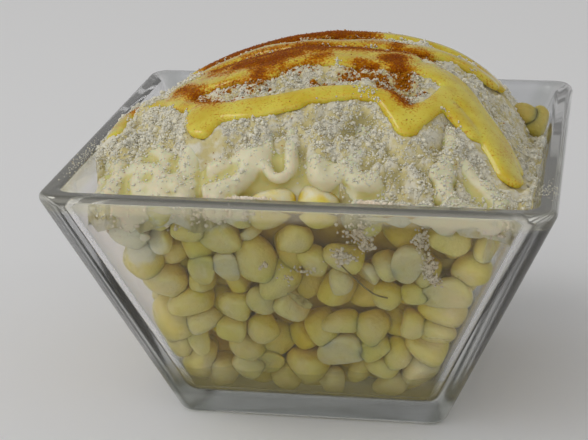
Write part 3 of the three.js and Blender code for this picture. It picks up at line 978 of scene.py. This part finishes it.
# Where ground chili lies: half width and strength of each streak, and the level places it runs through.
CHILI_STREAKS = [
    (2.4, 0.8, [(-33, -15), (-29, -20), (-25, -25), (-22, -28)]), (1.0, 0.6, [(-23, -27), (-16, -29)]),
    (3.6, 1.0, [(-24, -8.5), (-17, -8.5), (-9, -8.5), (0, -9)]),
    (3.0, 1.0, [(-19, -12.5), (-12, -13.5), (-6, -12.5)]), (2.4, 0.8, [(-13.5, -16), (-12.5, -23)]),
    (1.8, 0.5, [(-23, -22), (-15, -22), (-6, -19.5), (-1, -16.5)]),
    (2.6, 1.0, [(0, -8.5), (8, -8.5), (15, -8.5), (22, -6.5), (24, -5.5)]),
    (2.2, 0.5, [(-26, -13), (-20, -16)]), (3.8, 1.0, [(-30, 10), (-22, 7.5), (-12, 8), (-4, 9), (7, 9)]),
    (4.0, 0.9, [(-14, 16), (0, 17), (8, 15)]), (2.6, 0.9, [(-36, 2), (-32, 7), (-28, 10)]),
    (2.0, 0.7, [(0, -15.5), (2, -14)]), (1.6, 0.5, [(-20, -2), (-4, -3)]),
    (2.2, 1.0, [(7.8, -21), (11.6, -21), (15.3, -21)]), (1.6, 0.8, [(10, -17.3), (13.8, -18.3)]),
    (2.4, 1.0, [(16.5, -14.5), (18.5, -13), (19.5, -18), (21, -20.5)]),
    (1.0, 0.8, [(15, -25.6), (17, -24.6)]), (1.3, 1.0, [(1, -25.2), (2.8, -26)]),
    (1.0, 0.8, [(2.6, -25.8), (5, -26.4)]), (1.8, 1.0, [(18.2, -26.2), (20.3, -28.5), (22.3, -30.6)]),
    (1.0, 0.9, [(23.5, -25.5), (25.4, -24)]), (2.0, 0.8, [(17.5, -1.5), (17, -6)]),
    (1.8, 0.6, [(-46, -8), (-44.5, -7)]), (2.5, 0.35, [(4, -4), (13, -3)]), (2.5, 0.4, [(-10, 24), (6, 25)]),
    (3.0, 0.9, [(-16, -13), (-12, -17), (-9, -15)]), (2.2, 0.9, [(-13, -18), (-13.5, -23)]),
    (2.6, 0.8, [(-6, -5), (2, -6.5)]),
]


def distance_to(way, x, y):
    """Level distance from each place to a broken line of points."""
    best = np.full(np.shape(x), 1.0)
    for (ax, ay), (bx, by) in zip(way, way[1:]):
        along = ((x - ax) * (bx - ax) + (y - ay) * (by - ay)) / ((bx - ax) ** 2 + (by - ay) ** 2 + 1e-12)
        along = np.clip(along, 0, 1)
        best = np.minimum(best, np.hypot(x - ax - along * (bx - ax), y - ay - along * (by - ay)))
    return best


sauce_ways = [(half * MM, smooth_way(np.array(way) * MM, 2 * MM)) for half, way in SAUCE_STRINGS]


def beside_sauce(x, y):
    """How far a place lies outside the nearest string of sauce; negative under one."""
    return np.min([distance_to(way, x, y) - half for half, way in sauce_ways], axis=0)


def chili_at(x, y):
    """How much ground chili lies at each place, from 0 to 1."""
    total = np.zeros(np.shape(x))
    for half, strength, way in CHILI_STREAKS:
        far = distance_to(np.array(way) * MM, x, y) / (half * MM)
        total = np.maximum(total, strength * np.exp(-0.7 * far ** 2))
    return total


def noise_at(x, y, pitch, seed=0.0):
    """Soft noise from about -1 to 1 at many places."""
    return np.array([noise.noise(Vector((a / pitch, b / pitch, seed))) for a, b in zip(x, y)])


def lumps_at(x, y, pitch, seed):
    """Round lumps: 1 on top of each, 0 in the clefts between them."""
    far = np.array([noise.voronoi(Vector((a / pitch, b / pitch, seed)))[0][0] for a, b in zip(x, y)])
    return 1 - np.minimum(1.0, 1.7 * far ** 2)


def clumps_at(x, y):
    """Where the crumbs lie piled up, from 0 to 1."""
    return lumps_at(x, y, 5.5 * MM, 4.0) * eased(noise_at(x, y, 8 * MM, 6.0), -0.5, 0.3)


def cheese_cover(x, y):
    """How well the cheese covers the mayonnaise: 1 buries it, 0 leaves it bare."""
    edge = 40 * MM + 3.0 * MM * eased(x, -9 * MM, 3 * MM) + 12.5 * MM * eased(x, 8 * MM, 12 * MM)
    edge -= 5 * MM * eased(-x, 27 * MM, 33 * MM)
    bare = eased(-y - edge - 2.5 * MM * noise_at(x, y, 5 * MM, 9.0), -1 * MM, 3 * MM)
    bare += 0.9 * blob(x, y, 32.5, -36, 2.4) + 0.6 * blob(x, y, 32, -31, 2) + blob(x, y, 40, -43, 4)
    bare += 0.35 * blob(x, y, 8.5, -46, 4) + 0.7 * blob(x, y, 33.5, -47, 2.5)
    bare += 0.6 * blob(x, y, 38.5, 2, 3) + 0.8 * blob(x, y, 47.5, 6, 5)
    return np.clip(1 - bare, 0, 1)


def cheese_relief(x, y):
    """Height of the layer's clumps over its even level, in mm."""
    relief = 0.8 * noise_at(x, y, 9 * MM) + 2.2 * clumps_at(x, y) - 1.3
    relief += 1.7 * lumps_at(x, y, 2.6 * MM, 2.0) + 0.8 * lumps_at(x, y, 1.2 * MM, 1.0) - 1.3
    relief -= 3.4 * blob(x, y, 12.7, -35.5, 3.4) + 0.9 * blob(x, y, -2, -34, 3)
    banked = 1 - eased(beside_sauce(x, y), 0.5 * MM, 3.0 * MM)
    creeping = 1.0 + 1.1 * noise_at(x, y, 3.5 * MM, 14.0)
    return relief * (1 - 0.7 * banked) + creeping * banked + 2.2 * blob(x, y, -42.5, -11.5, 2.4)


def cheese_z(x, y):
    rough = 0.25 * np.random.default_rng(8).uniform(-1, 1, len(x))
    slope = 3.4 * eased(-y, 45 * MM, 50 * MM) * eased(x, 8 * MM, 12 * MM)
    return mound_z(x, y) + (cheese_relief(x, y) + rough - slope) * MM - 4.2 * MM * (1 - cheese_cover(x, y))


cheese_mesh = layer_mesh("cheese_layer", 228, cheese_z, 2.5 * MM, 2.6 * MM, 7.0 * MM)
x, y, z = points_of(cheese_mesh).T
# This mark is 1 deep in the clefts and in the hollow by the V; the finish paints shade there.
cleft = eased(-cheese_relief(x, y), 0.1, 2.2) + 0.7 * blob(x, y, 12.7, -35.5, 3.2)
add_marks(cheese_mesh, chili=chili_at(x, y), cleft=cleft)


def cheese_finish(name, soaked):
    """Fresh white cheese; soaked is its colour where it has taken up mayonnaise. The clefts of the layer are
    painted darker and yellower as painted shade, and the soaked colour shows most there.
    """
    made = Finish(name, Roughness=0.85, Subsurface_Weight=0.5, Subsurface_Scale=0.001,
                  Subsurface_Radius=(1.0, 0.9, 0.75), Specular_IOR_Level=0.1)
    # It is less dry in the clefts, so the soaked colour shows there as part of the painted shade.
    dry = made.noise(330.0).ramp(0.4, 0.6) - made.attribute("cleft") * 0.7
    dusted = (made.attribute("chili") * 1.2 + (made.noise(1100.0, detail=2.0) - 0.56) * 3.2).ramp(0.35, 0.8)
    made.set("Base Color", made.layers(
        soaked,
        (dry, (0.74, 0.70, 0.57)),
        # Painted shade: the clefts are painted a darker yellow-brown.
        (made.attribute("cleft").ramp(0.3, 1.0), (0.48, 0.42, 0.20)),
        (dusted, (0.38, 0.125, 0.002)),
    ))
    made.bump(made.noise(1500.0, detail=6.0), 0.25 * MM)
    return made


cheese_layer = shown("cheese_layer", cheese_mesh, cheese_finish("crumbled cheese", (0.64, 0.56, 0.29)))
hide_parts("crumbled_cheese")

# ---------------------------------------------------------------- the yellow cheese sauce
# Warm cheese sauce squeezed over the heap in one zigzag. It is thick enough to stand up with round
# edges, and it slumps where it turns and runs down the front.
SAUCE_VOXEL = 0.53 * MM
SAUCE_HIGH = 2.1 * MM
SAUCE_LIFT = 0.5 * MM
SAUCE_SINK = 0.35  # how much of a string's lower half is left
LEAST_END = 0.15  # the half width at a string's very end, as a share


def sauce_string(half, way):
    """The points and half widths of one string that swells here and there and has round ends."""
    points = smooth_way(np.array(way) * MM)
    swell = 1 + 0.07 * np.sin(np.arange(len(points)) * 0.17 + wander.uniform(0, 6))
    swell += 0.07 * np.sin(np.arange(len(points)) * 0.41 + wander.uniform(0, 6))
    walked = np.concatenate([[0], np.cumsum(np.linalg.norm(np.diff(points, axis=0), axis=1))])
    short = 1 - np.minimum(1, np.minimum(walked, walked[-1] - walked) / (half * MM))
    ends = np.maximum(LEAST_END, np.sqrt(1 - short ** 2))
    return np.column_stack([points, mound_z(*points.T)]), half * MM * swell * ends


sauce_mesh = strings_mesh("cheese_sauce", [sauce_string(*item) for item in SAUCE_STRINGS], SAUCE_VOXEL, 8)
sauce_points = points_of(sauce_mesh)
x, y, z = sauce_points.T
bed = mound_z(x, y)
flattened = SAUCE_HIGH * np.tanh((z - bed) * 0.8 / SAUCE_HIGH)
sauce_points[:, 2] = bed + SAUCE_LIFT + np.where(z > bed, flattened, (z - bed) * SAUCE_SINK)
add_marks(sauce_mesh, chili=chili_at(x, y))
set_points(sauce_mesh, sauce_points)
kept_inside(sauce_mesh, WALL_CLEAR)
sauce = Finish("cheese sauce", Subsurface_Weight=0.3, Subsurface_Scale=0.003,
               Specular_IOR_Level=0.06, Coat_Roughness=0.08, Coat_IOR=1.5)
streaked = sauce.noise(160.0, detail=2.0).ramp(0.3, 0.7)
dust = sauce.attribute("chili") * 1.3 + sauce.speckle(260.0, 0.9, 4.0) + sauce.speckle(2000.0, 2.0, 2.0)
stain = dust.ramp(0.4, 0.75)
dark = (dust + sauce.speckle(900.0, 0.8)).ramp(0.6, 1.3)
sauce.set("Base Color", sauce.layers(
    (0.61, 0.45, 0.015),
    (streaked, (0.72, 0.61, 0.07)),
    (dust.ramp(0.05, 0.5), (0.58, 0.31, 0.004)),
    (stain, sauce.mix(dark, (0.46, 0.16, 0.001), (0.24, 0.055, 0.0003))),
))
sauce.set("Roughness", stain * 0.3 + 0.35)
sauce.set("Coat Weight", stain * -0.9 + 0.9)
sauce.bump(sauce.noise(250.0), 0.12 * MM)
sauce_piece = shown("cheese_sauce_strings", sauce_mesh, sauce)
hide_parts("cheese_sauce")

# ---------------------------------------------------------------- loose crumbs and ground chili
# Single crumbs of the same cheese lie all over the heap, thickest where they are piled up and thin
# on the strings of sauce. The chili is a coarse red-brown powder.
ABOVE_ALL = 0.12  # a height over everything


def top_finder(meshes):
    """A function that gives the height of the highest of these meshes at level places."""
    corners = []
    polygons = []
    for mesh in meshes:
        start = len(corners)
        corners += [tuple(vert.co) for vert in mesh.vertices]
        polygons += [[start + index for index in face.vertices] for face in mesh.polygons]
    tree = BVHTree.FromPolygons(corners, polygons)

    def top(x, y):
        hits = [tree.ray_cast(Vector((a, b, ABOVE_ALL)), Vector((0, 0, -1)))[0] for a, b in zip(x, y)]
        return np.array([hit.z if hit else 0.0 for hit in hits])

    return top


def crumb_cages(count, low, high, pointed=0.0):
    """Uneven crumbs about 1 in radius; pointed ones have six corners, at this radius."""
    made = []
    for _ in range(count):
        form = bmesh.new()
        if pointed:
            bmesh.ops.create_uvsphere(form, u_segments=4, v_segments=2, radius=pointed)
        else:
            bmesh.ops.create_icosphere(form, subdivisions=1, radius=1.0)
        points, faces = cage_of(form)
        points *= style.uniform(low, high, (len(points), 1))
        if not pointed:
            points *= style.uniform(0.7, 1.25, 3)
        made.append((points, faces))
    return made


def scatter(count, accept, source):
    """Places over the heap, kept with the chance that accept(x, y) gives."""
    kept = []
    while sum(len(batch) for batch in kept) < count:
        x, y = source.uniform(-1, 1, (2, count)) * inner_half(RIM_Z)
        x, y = held_in(x, y, mound_z(x, y), 1.0 * MM)
        keep = source.uniform(0, 1, count) < accept(x, y)
        kept.append(np.column_stack([x, y])[keep])
    return np.concatenate(kept)[:count]


def grains(name, cages, centres, sizes, source, finish, chili=0.0):
    """A piece of many loose grains turned at random, some with more of the chili around them than others."""
    count = len(centres)
    picks = source.integers(0, len(cages), count)
    turns = random_turns(count, source)
    mesh = joined(name, cages, picks, centres, turns, np.repeat(sizes[:, None], 3, axis=1),
                  chili=chili * source.uniform(0.65, 1.5, count))
    shown(name, mesh, finish)


def strew(name, count, cages, low, high, accept, finish, seed, sink=0.35, pile=0.0):
    """Loose grains over the heap with a radius from low to high, small ones being commoner."""
    source = np.random.default_rng(seed)
    x, y = scatter(count, accept, source).T
    sizes = low + (high - low) * source.uniform(0, 1, count) ** 2
    z = heap_top(x, y)
    sizes = np.where(z > 0, sizes, 0)
    z += sizes * (1 - 2 * sink)
    if pile:
        z += pile * source.uniform(0, 1, count) * clumps_at(x, y) * cheese_cover(x, y)
    grains(name, cages, np.column_stack([x, y, z]), sizes, source, finish, chili=chili_at(x, y))


def crumb_chance(x, y):
    clusters = 0.45 + 0.55 * clumps_at(x, y)
    share = 0.15 + 0.85 * cheese_cover(x, y)
    fringe = beside_sauce(x, y) + 1.6 * MM * noise_at(x, y, 3 * MM, 12.0)
    buried = blob(x, y, -42, -11, 3) + blob(x, y, 13, -28.8, 2) + 0.5 * blob(x, y, -34, -8, 3)
    return clusters * share * np.clip(eased(fringe, -0.3 * MM, 0.4 * MM) + buried, 0, 1)


def coarse_chance(x, y):
    return crumb_chance(x, y) * clumps_at(x, y) * (beside_sauce(x, y) > 0.6 * MM)


def chili_chance(x, y):
    return 0.006 + np.clip(chili_at(x, y) * 1.1 - 0.1, 0, 1) ** 1.5


cheese = cheese_finish("loose crumbs", (0.81, 0.76, 0.60))
heap_top = top_finder([mayo_mesh, cheese_mesh, sauce_mesh])
fine_cages = crumb_cages(14, 0.55, 1.27)
tiny_cages = crumb_cages(12, 0.7, 1.2, 1.15)
strew("cheese_crumbs_fine", 22000, tiny_cages, 0.14 * MM, 0.30 * MM, crumb_chance, cheese, 21,
      sink=0.4, pile=0.15 * MM)
strew("cheese_crumbs_middling", 18000, tiny_cages, 0.20 * MM, 0.42 * MM, crumb_chance, cheese, 23,
      pile=0.45 * MM)
strew("cheese_crumbs_coarse", 2000, fine_cages, 0.33 * MM, 0.72 * MM, coarse_chance, cheese, 22,
      pile=0.3 * MM)
chili = mottled("ground chili", 2500.0, (0.20, 0.035, 0.004), (0.46, 0.13, 0.010), 4000.0, 0.05 * MM,
                spread=0.15, Roughness=0.7)
strew("chili_grains", 7000, crumb_cages(6, 0.4, 1.3, 1.1), 0.07 * MM, 0.22 * MM, chili_chance, chili, 31,
      sink=0.4)

# ---------------------------------------------------------------- what shows behind the front glass
# Cheese crumbs have fallen between the kernels and the glass, under the pads of mayonnaise, and a
# herb stem and a loose kernel skin lie against it.
AT_RIM = 61  # mm; clumps higher than this are at the rim
AT_RIM_UNDER = 0.4  # mm from the rim to the highest of their crumbs
UNDER_PADS = 2.6  # and to the highest of the others

# Each clump: place across, height, spread across, spread in height (mm) and number of crumbs.
FALLEN_CLUMPS = [
    (-9.5, 62.4, 3.0, 0.5, 110), (16.5, 61.8, 2.2, 0.5, 80), (14.5, 55.5, 2.2, 1.4, 130),
    (15.8, 52.0, 1.4, 1.2, 60), (10.5, 48.0, 1.8, 1.2, 80), (28.2, 53.5, 1.1, 2.0, 90),
    (29.5, 47.0, 1.0, 2.2, 90), (30.8, 43.0, 1.2, 0.8, 45), (-17.5, 59.0, 2.0, 1.4, 110),
    (-11.5, 59.2, 2.0, 1.2, 110), (-36.0, 58.5, 4.0, 1.5, 60), (-39.0, 52.5, 2.2, 2.6, 30),
    (-2.5, 41.5, 0.9, 0.7, 16), (0.5, 44.0, 3.0, 0.7, 20), (-8.0, 45.0, 0.7, 0.7, 10),
    (-25.0, 57.0, 4.0, 2.5, 50), (44.0, 58.0, 2.0, 1.6, 40),
]


def beside_front(x, z, room):
    """A place behind the front glass, this far inside its inner face."""
    return np.column_stack([x, -inner_half(z) + room, z])


fall = np.random.default_rng(41)
clump_spots = []
for across, height, wide, high, count in FALLEN_CLUMPS:
    under = AT_RIM_UNDER if height > AT_RIM else UNDER_PADS
    clump_spots.append(np.column_stack([
        fall.normal(across, wide * 0.8, count),
        np.minimum(fall.normal(height, high * 0.85, count), RIM_Z / MM - under),
        fall.uniform(0.4, 1.5, count),
    ]))
clump_spots = np.concatenate(clump_spots) * MM
clump_sizes = (0.22 + 0.42 * fall.uniform(0, 1, len(clump_spots)) ** 2) * MM
damp = mottled("damp cheese crumbs", 300.0, (0.84, 0.71, 0.55), (0.90, 0.81, 0.67), 1500.0, 0.1 * MM,
               Roughness=0.7)
grains("fallen_crumbs", fine_cages, beside_front(*clump_spots.T), clump_sizes, fall, damp)

stem_across = np.array([10.0, 11.6, 13.3, 15.2, 17.3, 20.0]) * MM
stem_height = np.array([46.4, 44.3, 42.3, 40.1, 38.4, 37.6]) * MM
stem_points = smooth_way(beside_front(stem_across, stem_height, 0.3 * MM), 0.5 * MM)
stem_mesh = strings_mesh("herb_stem", [(stem_points, np.full(len(stem_points), 0.2 * MM))], 0.1 * MM, 1)
herb = Finish("boiled herb stem", Roughness=0.5)
herb.set("Base Color", herb.mix(herb.noise(500.0), (0.20, 0.14, 0.03), (0.32, 0.24, 0.07)))
herb.bump(herb.noise(1500.0), 0.05 * MM)
shown("herb_stem", stem_mesh, herb)

skin_form = bmesh.new()
bmesh.ops.create_uvsphere(skin_form, u_segments=20, v_segments=10, radius=1.0)
for vert in skin_form.verts:
    x, z, thick = vert.co
    wavy = noise.noise(Vector((x * 2, thick, z * 2)))
    across = x * 1.3 * (1 + 0.35 * z) + 0.5 * z + 0.7 * wavy
    long = z * 3.2 + 0.6 * wavy
    height = (35.7 - 0.75 * long + 0.66 * across) * MM
    vert.co = (
        (-0.3 + 0.66 * long + 0.75 * across) * MM,
        -inner_half(height) + (0.45 + 0.12 * thick + 0.25 * x * x) * MM,
        height,
    )
skin = mottled("loose kernel skin", 400.0, (0.26, 0.18, 0.03), (0.66, 0.56, 0.20), 700.0, 0.1 * MM,
               spread=0.15, Roughness=0.3, Alpha=0.75)
shown("kernel_skin", finished(skin_form, "kernel_skin"), skin)

# ---------------------------------------------------------------- cheese dust on the rim
# Fine dry cheese has dropped on the left edge of the glass and on its front right corner.
DUST_COUNT = 360


def dust_chance(x, y):
    left = eased(-x, 51 * MM, 52.5 * MM) * eased(x, -56.5 * MM, -54.5 * MM) * blob(x / 3, y, -18, -24, 12)
    return np.clip(left + blob(x, y, 54, -40, 4) * eased(x, 51 * MM, 52 * MM), 0, 1)


dust_source = np.random.default_rng(61)
dust_spots = []
while len(dust_spots) < DUST_COUNT:
    spot = dust_source.uniform(-1, 1, 2) * (RIM_HALF - 0.8 * MM)
    if dust_source.uniform() < dust_chance(*spot):
        dust_spots.append(spot)
x, y = np.array(dust_spots).T
dust_sizes = dust_source.uniform(0.06, 0.17, DUST_COUNT) * MM
dust_places = np.column_stack([x, y, top_finder([bowl_mesh])(x, y) + dust_sizes * 0.4])
grains("rim_dust", fine_cages, dust_places, dust_sizes, dust_source, cheese)
